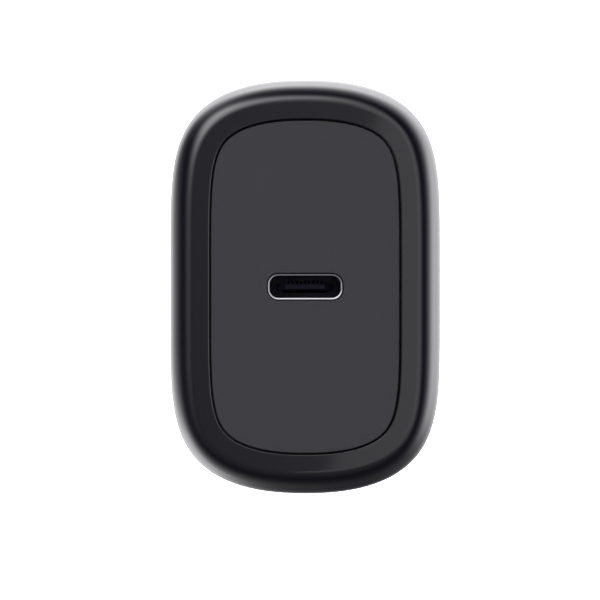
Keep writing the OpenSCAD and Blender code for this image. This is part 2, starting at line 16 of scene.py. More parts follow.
import bpy
import numpy as np
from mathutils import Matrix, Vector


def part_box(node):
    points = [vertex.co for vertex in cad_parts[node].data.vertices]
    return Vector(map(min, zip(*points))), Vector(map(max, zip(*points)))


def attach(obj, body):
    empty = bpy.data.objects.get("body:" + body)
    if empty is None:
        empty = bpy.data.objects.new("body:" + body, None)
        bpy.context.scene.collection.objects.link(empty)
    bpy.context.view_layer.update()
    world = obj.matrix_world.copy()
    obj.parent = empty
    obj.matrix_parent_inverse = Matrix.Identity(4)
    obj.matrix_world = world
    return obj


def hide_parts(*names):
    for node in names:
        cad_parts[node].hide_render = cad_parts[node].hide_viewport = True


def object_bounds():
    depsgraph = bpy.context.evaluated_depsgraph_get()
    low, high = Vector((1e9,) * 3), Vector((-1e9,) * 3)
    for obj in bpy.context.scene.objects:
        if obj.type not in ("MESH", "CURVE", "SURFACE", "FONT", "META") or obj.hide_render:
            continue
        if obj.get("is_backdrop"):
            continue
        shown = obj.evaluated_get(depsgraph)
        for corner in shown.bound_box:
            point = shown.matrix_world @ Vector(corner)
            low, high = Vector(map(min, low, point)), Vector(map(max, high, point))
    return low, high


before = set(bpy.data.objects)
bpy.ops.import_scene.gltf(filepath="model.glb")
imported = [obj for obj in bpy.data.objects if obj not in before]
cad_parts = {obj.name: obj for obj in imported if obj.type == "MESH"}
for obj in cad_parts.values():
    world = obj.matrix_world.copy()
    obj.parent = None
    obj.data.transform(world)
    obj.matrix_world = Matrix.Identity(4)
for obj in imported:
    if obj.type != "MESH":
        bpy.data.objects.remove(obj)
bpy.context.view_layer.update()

MM = 0.001

# %% [markdown]
# ## The outline that every moulding shares
#
# Seen from the front, the body is neither a rectangle nor an ellipse. Its long sides bow out a
# little and run into the corners with no straight stretch, which makes it comfortable to grip.
# A curve of the form |x/a|^p + |z/b|^q = 1 has this shape: p and q say how square the long sides
# and the ends are. Points on it are found by halving, then moved in along the normal, so the
# edge, the groove and the panel all keep an even distance from the side.

# %% The body's outline
shell_low, shell_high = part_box("housing_shell")
HALF_W, HALF_H = shell_high.x, shell_high.z
SIDE_POWER, END_POWER = 2.3, 5.2
AROUND, HALVINGS = 384, 40
angles = np.arange(AROUND) * 2 * math.pi / AROUND
toward = np.stack([np.cos(angles), np.sin(angles)], axis=1)


def body_outline(inset=0.0):
    """Points round the body, moved in by the inset along the outline's own normal."""
    low, high = np.zeros(AROUND), np.full(AROUND, 2 * HALF_H)
    for _ in range(HALVINGS):
        middle = (low + high) / 2
        reach = np.abs(toward * middle[:, None]) / [HALF_W, HALF_H]
        outside = reach[:, 0] ** SIDE_POWER + reach[:, 1] ** END_POWER > 1
        low, high = np.where(outside, low, middle), np.where(outside, middle, high)
    points = toward * low[:, None]
    normal = np.sign(points) * [SIDE_POWER / HALF_W, END_POWER / HALF_H] * (
        np.abs(points) / [HALF_W, HALF_H]) ** [SIDE_POWER - 1, END_POWER - 1]
    return points - inset * normal / np.linalg.norm(normal, axis=1)[:, None]


print("the body is", round(2 * HALF_W / MM, 1), "by", round(2 * HALF_H / MM, 1), "mm")

# %% [markdown]
# ## Sweeping a cross-section round an outline
#
# A moulding like the body's sleeve is the same cross-section all the way round. The section is
# written as a row of stations, each with its inset from the outline and its depth. One ring of
# points is made for each station, and the rings are joined by four-sided faces. This gives
# evenly spaced, clean quads, where a boolean or a bevel would leave slivers that show up as
# ripples in a glossy reflection.

# %% The sweep and its rounded corners
SHARP_OVER = 35


def ring(outline, depth):
    """One ring of points at one depth."""
    return np.stack([outline[:, 0], np.full(len(outline), depth), outline[:, 1]], axis=1)


def corner(centre, radius, start, end, steps):
    """Stations on an arc, from one angle to another in degrees."""
    turns = np.radians(np.linspace(start, end, steps + 1))
    return [(centre[0] + radius * math.cos(a), centre[1] + radius * math.sin(a)) for a in turns]


def swept(name, rings, close=True, cap_ends=False):
    """Joins rings to one mesh: closed back to the first ring, or capped at both ends."""
    count = len(rings[0])
    points = np.concatenate(rings)
    joins = len(rings) if close else len(rings) - 1
    faces = []
    for k in range(joins):
        here, there = k * count, (k + 1) % len(rings) * count
        faces += [(here + i, here + (i + 1) % count, there + (i + 1) % count, there + i)
                  for i in range(count)]
    if cap_ends:
        faces += [tuple(range(count))[::-1], tuple(range(len(points) - count, len(points)))]
    mesh = bpy.data.meshes.new(name)
    mesh.from_pydata(points.tolist(), [], faces)
    mesh.update()
    piece = bpy.data.objects.new(name, mesh)
    bpy.context.scene.collection.objects.link(piece)
    return piece


def smoothed(piece):
    """Smooth shading, with creases kept where faces meet at more than SHARP_OVER degrees."""
    for face in piece.data.polygons:
        face.use_smooth = True
    piece.data.set_sharp_from_angle(angle=math.radians(SHARP_OVER))
    weigh = piece.modifiers.new("even_light", "WEIGHTED_NORMAL")
    weigh.keep_sharp = True


def fitted(piece, slot, *nodes):
    """Makes the piece stand for these CAD nodes and ride on the body."""
    smoothed(piece)
    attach(piece, "root")
    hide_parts(*nodes)
    print(piece.name, "has", len(piece.data.polygons), "faces")


quarter = corner((0, 0), 1 * MM, 0, 90, 6)
print("a rounded corner in 6 steps has", len(quarter), "stations")

# %% [markdown]
# ## Small straight parts
#
# Legs, ribs and rails are short bars that grow out of a larger piece. A bar is only eight corners
# and six faces, so it's written out directly, and its mesh is joined to the piece that carries it.
# Each bar starts a little inside that piece, as a moulded rib does, so no gap can open.

# %% Bars joined to a piece
def bar(low, high):
    """The eight corners and six faces of a plain bar, for small straight legs and ribs."""
    corners = [(x, y, z) for x in (low[0], high[0]) for y in (low[1], high[1])
               for z in (low[2], high[2])]
    sides = [(0, 1, 3, 2), (4, 6, 7, 5), (0, 4, 5, 1), (2, 3, 7, 6), (0, 2, 6, 4), (1, 5, 7, 3)]
    return corners, sides


def added(piece, parts):
    """Joins more corners and faces to a piece's mesh."""
    points = [tuple(v.co) for v in piece.data.vertices]
    faces = [tuple(f.vertices) for f in piece.data.polygons]
    for corners, sides in parts:
        faces += [tuple(len(points) + i for i in side) for side in sides]
        points += [tuple(c) for c in corners]
    piece.data.clear_geometry()
    piece.data.from_pydata(points, [], faces)
    piece.data.update()
    return piece


print("a bar has", len(bar((0, 0, 0), (1, 1, 1))[1]), "faces")

# %% [markdown]
# ## The gloss body
#
# On the real charger this is one injection moulding in a polished steel mould: a sleeve, a front
# edge of about 2.7 mm radius, a flat ring and a thin lip where the groove begins. The polish shows
# every fault in the surface, so the edge gets many steps, and a narrow band of faces lies at each
# side of the flat ring. The bands take up the change of shading and keep the ring truly flat.
# Inside the sleeve, two pairs of rails at the top and bottom hold the edges of the main board.

# %% Make the body
FRONT = shell_low.y
SEAM = shell_high.y
WALL, EDGE_R = 1.8 * MM, 2.75 * MM
RING_END = 4.65 * MM
FLANGE_BACK = FRONT + 2 * MM
LIP_R, SEAM_BEVEL, BAND = 0.08 * MM, 0.2 * MM, 0.05 * MM

body_section = [(RING_END, FLANGE_BACK)]
body_section += corner((RING_END - LIP_R, FRONT + LIP_R), LIP_R, 0, -90, 6)
body_section += [(RING_END - LIP_R - BAND, FRONT), (EDGE_R + BAND, FRONT)]
body_section += corner((EDGE_R, FRONT + EDGE_R), EDGE_R, 270, 180, 32)
body_section += [(0, SEAM - SEAM_BEVEL), (SEAM_BEVEL, SEAM), (WALL, SEAM), (WALL, FLANGE_BACK)]
body = swept("gloss_body", [ring(body_outline(inset), depth) for inset, depth in body_section])

board_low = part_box("main_board")[0]
BOARD_T, RAIL_T, RAIL_PLAY = 1.2 * MM, 0.9 * MM, 0.05 * MM
RAIL_TIP, RAIL_END, RAIL_ROOT = 16.3 * MM, SEAM - 4.3 * MM, 0.6 * WALL
rails = []
for rail_low in (board_low.x - RAIL_PLAY - RAIL_T, board_low.x + BOARD_T + RAIL_PLAY):
    rail_high, bow = rail_low + RAIL_T, abs(rail_low + RAIL_T / 2) / HALF_W
    root = HALF_H * (1 - bow ** SIDE_POWER) ** (1 / END_POWER) - RAIL_ROOT
    for low_z, high_z in ((RAIL_TIP, root), (-root, -RAIL_TIP)):
        rails.append(bar((rail_low, board_low.y, low_z), (rail_high, RAIL_END, high_z)))
fitted(added(body, rails), "housing_gloss", "housing_shell")

# %% [markdown]
# ## The inset panel
#
# The panel is a separate moulding in a textured mould, pressed in from behind, so a groove of
# 0.25 mm stays all round it. Its slot has straight sides and corners of about 1 mm radius. A hole
# is usually cut with a boolean, but here each ray from the middle is met with the slot as it is
# with the body. The slot then has as many points as the outline, and the flat face between the
# two is one fan of quads.

# %% The slot's outline
PORT_W, PORT_H, PORT_CORNER = 8.34 * MM, 2.56 * MM, 1 * MM
TINY = 1e-9


def slot_outline(margin):
    """Points round the socket's opening, moved out by the margin."""
    radius = PORT_CORNER + margin
    wide, high = PORT_W / 2 - PORT_CORNER, PORT_H / 2 - PORT_CORNER
    across, up = np.abs(toward[:, 0]), np.abs(toward[:, 1])
    to_side = (high + radius) / np.maximum(up, TINY)
    to_end = (wide + radius) / np.maximum(across, TINY)
    half_chord = np.sqrt(np.maximum(radius ** 2 - (wide * up - high * across) ** 2, 0))
    to_corner = wide * across + high * up + half_chord
    reach = np.where((wide + radius) * up <= high * across, to_end, to_corner)
    reach = np.where((high + radius) * across <= wide * up, to_side, reach)
    return toward * reach[:, None]


slot_size = np.ptp(slot_outline(0), axis=0) / MM
print("the opening measures", slot_size.round(2), "mm")

# %% [markdown]
# ## The panel's cross-section
#
# The section starts at the slot's rounded edge, crosses the face, turns back at the groove, steps
# out to the flange that rests on the body's own flange, and returns behind the face to a collar
# round the slot. The collar is what holds the socket in line.

# %% Make the panel
PANEL_FACE, panel_back = FRONT + 0.1 * MM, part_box("front_panel")[1].y
GROOVE = 0.25 * MM
PANEL_EDGE = RING_END + GROOVE
PANEL_LIP, SLOT_LIP, SLOT_GAP = 0.07 * MM, 0.05 * MM, 0.36 * MM
FLANGE_EDGE, INNER_EDGE, COLLAR = 2.7 * MM, PANEL_EDGE + 1.6 * MM, 1.95 * MM
FACE_BACK = PANEL_FACE + 1.7 * MM

slot_edge = corner((SLOT_GAP + SLOT_LIP, PANEL_FACE + SLOT_LIP), SLOT_LIP, 180, 270, 5)
slot_edge += [(SLOT_GAP + SLOT_LIP + BAND, PANEL_FACE)]
panel_section = [(PANEL_EDGE + PANEL_LIP + BAND, PANEL_FACE)]
panel_section += corner((PANEL_EDGE + PANEL_LIP, PANEL_FACE + PANEL_LIP), PANEL_LIP, 270, 180, 6)
panel_section += [(PANEL_EDGE, FLANGE_BACK), (FLANGE_EDGE, FLANGE_BACK),
                  (FLANGE_EDGE, panel_back), (INNER_EDGE, panel_back), (INNER_EDGE, FACE_BACK)]
collar = [(COLLAR, FACE_BACK), (COLLAR, panel_back), (SLOT_GAP, panel_back)]
panel_rings = [ring(slot_outline(margin), depth) for margin, depth in slot_edge]
panel_rings += [ring(body_outline(inset), depth) for inset, depth in panel_section]
panel_rings += [ring(slot_outline(margin), depth) for margin, depth in collar]
fitted(swept("inset_panel", panel_rings), "panel_matte", "front_panel")

# %% [markdown]
# ## The rear moulding and the plug's neck
#
# Behind the seam the body narrows to the neck that reaches into a recessed wall socket. The neck
# has two long sides, two short ends and four slants. They are blended into one closed curve by a
# high power, which gives the soft moulded corners, and a concave foot carries the curve from the
# neck to the rear face.

# %% The neck's outline
NECK_W, NECK_H, NECK_FLAT, NECK_POWER = 13.7 * MM, 35.3 * MM, 26.1 * MM, 26


def neck_outline(inset=0.0):
    """Points round the neck, moved in by the inset."""
    across, up = np.abs(toward[:, 0]), np.abs(toward[:, 1])
    slant = (NECK_W + NECK_FLAT) / 2 / math.sqrt(2)
    blend = (across / (NECK_W / 2 - inset)) ** NECK_POWER
    blend = blend + (up / (NECK_H / 2 - inset)) ** NECK_POWER
    blend = blend + ((across + up) / math.sqrt(2) / (slant - inset)) ** NECK_POWER
    return toward * (blend ** (-1 / NECK_POWER))[:, None]


print("the neck measures", (np.ptp(neck_outline(), axis=0) / MM).round(1), "mm")

# %% [markdown]
# ## The rear moulding's cross-section
#
# Inside the neck a ledge carries the plate that holds the pins, so the section steps in and out
# there. It then widens to the spigot, a thinner wall that slides into the gloss body and puts the
# seam exactly on the outline. The outside comes last, with a large soft radius at the rear face.

# %% Make the rear moulding
REAR, SPIGOT_END = -18 * MM, SEAM - 4 * MM
REAR_R, FOOT_R, TIP_R = 3 * MM, 1.5 * MM, 0.8 * MM
NECK_WALL, LEDGE = 1.5 * MM, 2.3 * MM
LEDGE_FRONT, LEDGE_BACK, LEDGE_FOOT = -4 * MM, -5.2 * MM, -6 * MM
INSIDE, SPIGOT_IN, SPIGOT_OUT = REAR - 2 * MM, 3.25 * MM, 1.85 * MM

inner_neck = [(NECK_WALL, 0), (NECK_WALL, LEDGE_FRONT), (LEDGE, LEDGE_FRONT),
              (LEDGE, LEDGE_BACK), (NECK_WALL, LEDGE_FOOT), (NECK_WALL, INSIDE)]
back = [(SPIGOT_IN, INSIDE), (SPIGOT_IN, SPIGOT_END), (SPIGOT_OUT, SPIGOT_END),
        (SPIGOT_OUT, SEAM), (SEAM_BEVEL, SEAM), (0, SEAM + SEAM_BEVEL)]
back += corner((REAR_R, REAR - REAR_R), REAR_R, 180, 90, 16)
outer_neck = corner((-FOOT_R, REAR + FOOT_R), FOOT_R, -90, 0, 10)
outer_neck += corner((TIP_R, -TIP_R), TIP_R, 180, 90, 8)
back_rings = [ring(outline(inset), depth) for outline, section in
              ((neck_outline, inner_neck), (body_outline, back), (neck_outline, outer_neck))
              for inset, depth in section]
fitted(swept("rear_moulding", back_rings), "cover_matte", "rear_cover")

# %% [markdown]
# ## The socket's steel shell
#
# The bright line round the socket is the front edge of a shell drawn from 0.3 mm steel sheet. The
# edge is dished by a few degrees, like a very shallow funnel, rounded into the mouth and
# bevelled outside. It guides the plug in, and each side of it mirrors another small part of the
# studio, which makes the line brighter below than above. The bevel looks into the gap and stays
# dark, helped by a dark base colour that is painted shade. Four legs go through the port board.

# %% Make the shell
shell_front, shell_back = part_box("usb_shell")
SHELL_FRONT, SHELL_END, SHEET = shell_front.y, shell_front.y + 8.85 * MM, 0.3 * MM
MOUTH_R, BEVEL_W, BEVEL_BACK, DISH = 0.08 * MM, 0.10 * MM, 0.14 * MM, 7
slope = math.radians(DISH)
dished = SHEET - BEVEL_W - MOUTH_R + MOUTH_R * math.sin(slope)
mouth_y = SHELL_FRONT + MOUTH_R * math.cos(slope) + dished * math.tan(slope)
edge = [(SHEET, SHELL_END), (SHEET, SHELL_FRONT + BEVEL_BACK), (SHEET - BEVEL_W, SHELL_FRONT)]
edge += corner((MOUTH_R, mouth_y), MOUTH_R, -90 - DISH, -180, 8) + [(0, SHELL_END)]
shell = swept("socket_shell", [ring(slot_outline(margin), depth) for margin, depth in edge])

LEG_X, LEG_Z, LEG_ROOT = PORT_W / 2 + SHEET / 2 - 0.5 * MM, 1 * MM, SHELL_END - 0.1 * MM
LEG_HALF_W, LEG_HALF_T = 0.45 * MM, 0.17 * MM
legs = [bar((x - LEG_HALF_W, LEG_ROOT, z - LEG_HALF_T),
            (x + LEG_HALF_W, shell_back.y, z + LEG_HALF_T))
        for x in (-LEG_X, LEG_X) for z in (-LEG_Z, LEG_Z)]
fitted(added(shell, legs), "socket_steel", "usb_shell")

# %% [markdown]
# ## The insulator and its tongue
#
# Inside the shell a dark moulding closes the back and carries the tongue in the middle. A plug
# fits over the tongue. The back has a pocket, and its outline is the nearest of eight straight
# sides along each ray, which gives the cut corners. A comb of twelve short ribs hangs over the
# pocket where the contacts are pressed in.

# %% The insulator's back
tongue_front, tongue_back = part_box("usb_tongue")
BASE_FACE = SHELL_FRONT + 6.3 * MM
FIT_GAP, BASE_BEVEL, POCKET_BEVEL, POCKET_DEPTH = 0.03 * MM, 0.08 * MM, 0.05 * MM, 1.4 * MM
FAR = 1.0
POCKET_SIDES = [  # direction across and up, distance in mm
    ((0, 1), 0.72), ((0, -1), 0.68), ((1, 0), 3.2), ((-1, 0), 3.2), ((0.71, -0.71), 2.35),
    ((-0.71, -0.71), 2.35), ((0.35, 0.94), 1.32), ((-0.35, 0.94), 1.32),
]


def pocket_outline(grow=0.0):
    """Points round the pocket, with every side moved out by the same amount."""
    reach = np.full(AROUND, FAR)
    for direction, distance in POCKET_SIDES:
        facing = np.maximum(toward @ direction, TINY)
        reach = np.minimum(reach, (distance * MM + grow) / facing)
    return toward * reach[:, None]


base_rings = [ring(slot_outline(-FIT_GAP), tongue_back.y),
              ring(slot_outline(-FIT_GAP), BASE_FACE + BASE_BEVEL),
              ring(slot_outline(-FIT_GAP - BASE_BEVEL), BASE_FACE),
              ring(pocket_outline(POCKET_BEVEL), BASE_FACE),
              ring(pocket_outline(), BASE_FACE + POCKET_BEVEL),
              ring(pocket_outline(), BASE_FACE + POCKET_DEPTH)]
insulator = swept("socket_insulator", base_rings, close=False, cap_ends=True)

RIBS, RIB_PITCH, RIB_HALF_W = 12, 0.5 * MM, 0.13 * MM
RIB_FRONT, RIB_BACK = BASE_FACE - 0.12 * MM, BASE_FACE + 1.3 * MM
RIB_LOW, RIB_HIGH = 0.36 * MM, 0.78 * MM
ribs = [bar((x - RIB_HALF_W, RIB_FRONT, RIB_LOW), (x + RIB_HALF_W, RIB_BACK, RIB_HIGH))
        for x in (np.arange(RIBS) - (RIBS - 1) / 2) * RIB_PITCH]
print("the comb has", len(ribs), "ribs, one every", RIB_PITCH / MM, "mm")

# %% [markdown]
# ## The tongue
#
# The tongue has a slanted nose that covers the front ends of the contacts, so it isn't one bar
# but a few cross-sections along its length. It's swept as a piece of its own, and its mesh is
# then joined to the insulator's back together with the ribs.

# %% Make the tongue
TONGUE_W, TIP_W, NOSE_W, CUT = 6.69 * MM, 4.59 * MM, 5.03 * MM, 0.06 * MM
TONGUE_STATIONS = [  # mm behind the tip, width, half height in mm
    (0, TIP_W, 0.24), (0.22, NOSE_W, 0.41), (1.05, TONGUE_W, 0.41),
    (1.12, TONGUE_W, 0.41), (1.16, TONGUE_W, 0.35), (5.6, TONGUE_W, 0.35),
]


def tongue_section(width, half_height):
    """A bar's outline with its four corners cut."""
    w, h = width / 2, half_height
    return np.array([(w - CUT, -h), (w, CUT - h), (w, h - CUT), (w - CUT, h),
                     (CUT - w, h), (-w, h - CUT), (-w, CUT - h), (CUT - w, -h)])


tongue = swept("tongue", [ring(tongue_section(width, high * MM), tongue_front.y + behind * MM)
                          for behind, width, high in TONGUE_STATIONS], close=False, cap_ends=True)
tongue_points = [tuple(v.co) for v in tongue.data.vertices]
tongue_faces = [tuple(f.vertices) for f in tongue.data.polygons]
bpy.data.objects.remove(tongue)
fitted(added(insulator, [(tongue_points, tongue_faces)] + ribs), "socket_insulator", "usb_tongue")

# %% [markdown]
# ## Writing finishes as formulas
#
# A finish is a Principled shader with a few nodes in front of it. Wiring them one by one hides what
# they work out. So one small class wraps a node's socket, and an expression such as
# 0.04 + 0.02 * dust makes the Math nodes by itself.

# %% A number in a formula
class Amount:
    """A number that a finish works out at each point of a surface."""

    def __init__(self, finish, socket):
        self.finish, self.socket = finish, socket

    def math(self, operation, *inputs):
        return self.finish.add("ShaderNodeMath", {"operation": operation}, dict(enumerate(inputs)))

    def __add__(self, other):
        return self.math("ADD", self, other)

    def __sub__(self, other):
        return self.math("SUBTRACT", self, other)

    def __mul__(self, other):
        return self.math("MULTIPLY", self, other)

    def __truediv__(self, other):
        return self.math("DIVIDE", self, other)

    def __rsub__(self, other):
        return self.math("SUBTRACT", other, self)

    __radd__, __rmul__ = __add__, __mul__

    def at_least(self, limit):
        return self.math("MAXIMUM", self, limit)

    def root(self):
        return self.math("SQRT", self)

    def exponential(self):
        return self.math("EXPONENT", self)

    def rise(self, start, end):
        """0 before start, 1 after end and a smooth climb between them."""
        return self.finish.add("ShaderNodeMapRange", {"interpolation_type": "SMOOTHSTEP"},
                               {"Value": self, "From Min": start, "From Max": end}, "Result")


print("a formula can add, subtract, multiply and divide, and knows three functions and a rise")

# %% [markdown]
# ## One way to add a node
#
# Every other node comes from one method. It takes the node's type, then its settings, because some
# of them change which sockets there are, and last the values or links of its sockets.

# %% The node tree
class NodeTree:
    """A node tree with one way to add a node: its type, its settings, then its inputs."""

    def __init__(self, tree):
        self.tree = tree

    def add(self, kind, settings=None, inputs=None, output=0):
        node = self.tree.nodes.new(kind)
        for name, value in (settings or {}).items():
            setattr(node, name, value)
        for name, value in (inputs or {}).items():
            self.feed(node.inputs[name], value)
        return Amount(self, node.outputs[output])

    def feed(self, socket, value):
        if isinstance(value, Amount):
            self.tree.links.new(value.socket, socket)
        else:
            socket.default_value = value


print("there are", len(bpy.data.materials), "materials before the first finish")

# %% [markdown]
# ## What a finish can do
#
# A finish owns one material. What is the same all over goes on the shader's own sockets, and the
# patterns read the place on the piece in millimetres, so a grain has its real size on every piece.
# Four patterns are enough here: soft noise, grains, even waves and a blend of two colours.

# %% The finish
MIX_A, MIX_B, MIX_RESULT = 6, 7, 2  # the colour sockets of a Mix node, which share their names


class Finish(NodeTree):
    """A named material: constants go on the shader's own sockets, patterns through nodes."""

    def __init__(self, name, colour, roughness, metallic=0.0, **constants):
        self.material = bpy.data.materials.new(name)
        self.material.use_nodes = True
        super().__init__(self.material.node_tree)
        self.shader = self.tree.nodes["Principled BSDF"]
        self.set("Base Color", (*colour, 1))
        self.set("Roughness", roughness)
        self.set("Metallic", metallic)
        for socket, value in constants.items():
            self.set(socket.replace("_", " "), value)
        self.place = self.add("ShaderNodeTexCoord", output="Object")

    def set(self, socket, value):
        self.feed(self.shader.inputs[socket], value)

    def stretched(self, x, y, z):
        """The place on the piece in millimetres, stretched along any axis."""
        return self.add("ShaderNodeMapping", {"vector_type": "POINT"},
                        {"Vector": self.place, "Scale": (x / MM, y / MM, z / MM)})

    def cloud(self, grains_per_mm, detail=2.0, stretch=(1, 1, 1)):
        """Soft noise from about 0 to 1."""
        inputs = {"Vector": self.stretched(*stretch), "Scale": grains_per_mm, "Detail": detail}
        return self.add("ShaderNodeTexNoise", {"noise_dimensions": "3D"}, inputs, "Fac")

    def grains(self, per_mm):
        """Distance to the nearest grain's middle."""
        return self.add("ShaderNodeTexVoronoi", {"feature": "F1"},
                        {"Vector": self.stretched(1, 1, 1), "Scale": per_mm}, "Distance")

    def waves(self, per_mm, direction, distort=0.0):
        """Even ridges across one axis."""
        inputs = {"Vector": self.stretched(1, 1, 1), "Scale": per_mm, "Distortion": distort}
        return self.add("ShaderNodeTexWave", {"bands_direction": direction, "wave_profile": "SIN"},
                        inputs, "Fac")

    def blend(self, share, first, second):
        """From the first colour to the second as the share goes from 0 to 1."""
        first, second = [(*c, 1) if isinstance(c, tuple) else c for c in (first, second)]
        return self.add("ShaderNodeMix", {"data_type": "RGBA"},
                        {"Factor": share, MIX_A: first, MIX_B: second}, MIX_RESULT)

    def relief(self, height, depth_mm, strength):
        """Bumps of the given depth."""
        inputs = {"Height": height, "Distance": depth_mm * MM, "Strength": strength}
        self.set("Normal", self.add("ShaderNodeBump", None, inputs, "Normal"))

    def along(self, coordinate, axis):
        """One axis of a coordinate, as a number."""
        return self.add("ShaderNodeSeparateXYZ", None, {"Vector": coordinate}, axis)

    def coat(self, *names):
        """Puts the finish on pieces or CAD nodes, in place of what they came with."""
        for name in names:
            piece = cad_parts.get(name) or bpy.data.objects[name]
            piece.data.materials.clear()
            piece.data.materials.append(self.material)
        print(self.material.name, "is on", ", ".join(names))


print("patterns are scaled by", round(1 / MM), "so that 1 is a millimetre")

# %% [markdown]
# ## Polished and satin black
#
# Polished black plastic is almost all reflection: very little colour of its own, here a trace of
# blue from the dye, a low roughness and faint cloudy haze from handling. The rear moulding and
# the pin carrier come from a satin mould, so the same plastic gets a fine grain and a higher
# roughness.

# %% Black plastics
polished = Finish("polished_black", (0.0018, 0.0018, 0.0046), 0.03)
haze = polished.cloud(0.35, 3)
polished.set("Roughness", 0.02 + 0.025 * haze)
polished.set("Base Color", polished.blend(haze, (0.0014, 0.0014, 0.0040), (0.0022, 0.0021, 0.0052)))
polished.relief(polished.cloud(0.5, 1), 0.0003, 0.3)
polished.coat("gloss_body")

satin = Finish("satin_black", (0.008, 0.008, 0.009), 0.4, Specular_IOR_Level=0.3)
grain = satin.grains(5)
satin.set("Roughness", 0.34 + 0.16 * satin.cloud(1.2))
satin.set("Base Color", satin.blend(grain, (0.0065, 0.0065, 0.0072), (0.010, 0.010, 0.011)))
satin.relief(grain, 0.012, 0.6)
satin.coat("rear_moulding", "pin_carrier")

# %% [markdown]
# ## The textured panel
#
# The panel's mould is spark-eroded, which leaves shallow pits about 0.15 mm across. They scatter
# light, so the panel looks evenly grey beside the mirror-like ring. Two sizes of noise in the
# bump and a slight mottling in the colour give that surface.

# %% Panel finish
textured = Finish("textured_grey", (0.0256, 0.0246, 0.0292), 0.62, Specular_IOR_Level=0.3)
pits = textured.grains(7)
mottle = textured.cloud(2.4, 4)
textured.set("Base Color", textured.blend(
    mottle, (0.0246, 0.0236, 0.0280), (0.0266, 0.0256, 0.0304)))
textured.set("Roughness", 0.58 + 0.1 * mottle)
textured.relief(pits * 0.6 + mottle * 0.4, 0.010, 0.55)
textured.coat("inset_panel")

# %% [markdown]
# ## The socket's metals and insulator
#
# The shell is nickel-plated steel with fine drawing marks along its depth. Plugs burnish the part
# of its edge that faces the front. A mask on the direction of the surface gives the bevel, the
# rounding and the rest of the shell a rougher finish and a dark base colour, which is painted
# shade.
# The insulator is a black glass-filled plastic with faint flecks, darkened further as painted
# shade.
# A mask on the depth paints the wall at its back paler, as painted light. The contacts are thin
# gold over copper.

# %% Socket finishes
plated = Finish("plated_steel", (0.38, 0.38, 0.39), 0.2, 1.0)
drawn = plated.cloud(6, 2, (1, 0.1, 1))
facing = plated.along(plated.add("ShaderNodeTexCoord", output="Normal"), "Y")
# painted shade: only the front-facing edge keeps the bright nickel colour, and the bevel, the mouth
# rounding and the walls get a dark base colour; the same mask makes them rougher
burnish_and_painted_shade = (0 - facing).rise(0.94, 0.985)
plated.set("Roughness", 0.34 - 0.18 * burnish_and_painted_shade + 0.1 * drawn)
plated.set("Base Color", plated.blend(burnish_and_painted_shade, (0.08, 0.08, 0.084), (0.38, 0.38, 0.39)))
plated.relief(drawn, 0.001, 0.3)
plated.coat("socket_shell")

# painted shade: the plastic's own black is set darker still, standing in for the shade inside the
# socket
insulating = Finish("glass_filled_black", (0.0045, 0.0037, 0.0100), 0.6, Specular_IOR_Level=0.1)
fleck = insulating.cloud(5, 3, (1, 0.3, 1))
plastic = insulating.blend(fleck, (0.0035, 0.0029, 0.0080), (0.0055, 0.0045, 0.0120))
depth = insulating.along(insulating.place, "Y")
# painted light: a band at the depth of the back wall gets a far paler colour, so the wall reads as
# lit deep in the socket
at_wall = depth.rise(BASE_FACE - 0.2 * MM, BASE_FACE - 0.1 * MM)
past_wall = depth.rise(BASE_FACE + 0.1 * MM, BASE_FACE + 0.3 * MM)
painted_light_on_wall = at_wall * (1 - past_wall)
insulating.set("Base Color", insulating.blend(painted_light_on_wall, plastic, (0.085, 0.078, 0.115)))
insulating.set("Roughness", 0.52 + 0.16 * fleck)
insulating.relief(fleck, 0.004, 0.4)
insulating.coat("socket_insulator")

gold = Finish("gold_plate", (0.83, 0.60, 0.24), 0.22, 1.0)
gold.set("Roughness", 0.16 + 0.16 * gold.cloud(8, 2, (1, 0.2, 1)))
gold.coat("usb_contacts")

# %% [markdown]
# ## The plug pins
#
# The pins are turned brass with nickel plating. Turning leaves rings round each pin, and contact
# with sockets leaves fine scratches along it, so two patterns drive the roughness: even bands
# across the length and long streaks along it. The sleeves are plain moulded nylon.

# %% Pin finishes
nickel = Finish("turned_nickel", (0.55, 0.53, 0.49), 0.22, 1.0)
rings_cut = nickel.waves(9, "Y", 1.5)
streaks = nickel.cloud(5, 3, (1, 0.06, 1))
nickel.set("Roughness", 0.14 + 0.06 * rings_cut + 0.14 * streaks)
nickel.set("Base Color", nickel.blend(streaks, (0.48, 0.46, 0.42), (0.62, 0.60, 0.56)))
nickel.relief(rings_cut * 0.7 + streaks * 0.3, 0.0015, 0.5)
nickel.coat("plug_pin_upper", "plug_pin_lower")

nylon = Finish("sleeve_nylon", (0.012, 0.012, 0.013), 0.36)
nylon_grain = nylon.cloud(4, 3)
nylon.set("Roughness", 0.30 + 0.14 * nylon_grain)
nylon.set("Base Color", nylon.blend(nylon_grain, (0.009, 0.009, 0.010), (0.015, 0.015, 0.016)))
nylon.relief(nylon_grain, 0.004, 0.4)
nylon.coat("pin_sleeve_upper", "pin_sleeve_lower")

# %% [markdown]
# ## Boards, paper and solder
#
# The parts inside can't be seen while the case is shut, but they are finished too, because the
# case can be taken away. A board shows the weave of its glass cloth through the green mask, so
# two sets of even waves are multiplied. Insulating paper is pressed from fibres that lie mostly
# one way, so its noise is stretched, and solder is a soft, uneven metal.

# %% Board, film and sheet
mask = Finish("solder_mask_green", (0.02, 0.13, 0.06), 0.3)
weave = mask.waves(2.2, "Y") * mask.waves(2.2, "Z")
mask.set("Base Color", mask.blend(weave, (0.016, 0.11, 0.05), (0.028, 0.17, 0.08)))
mask.set("Roughness", 0.24 + 0.14 * weave)
mask.relief(weave, 0.01, 0.4)
mask.coat("main_board", "port_board")

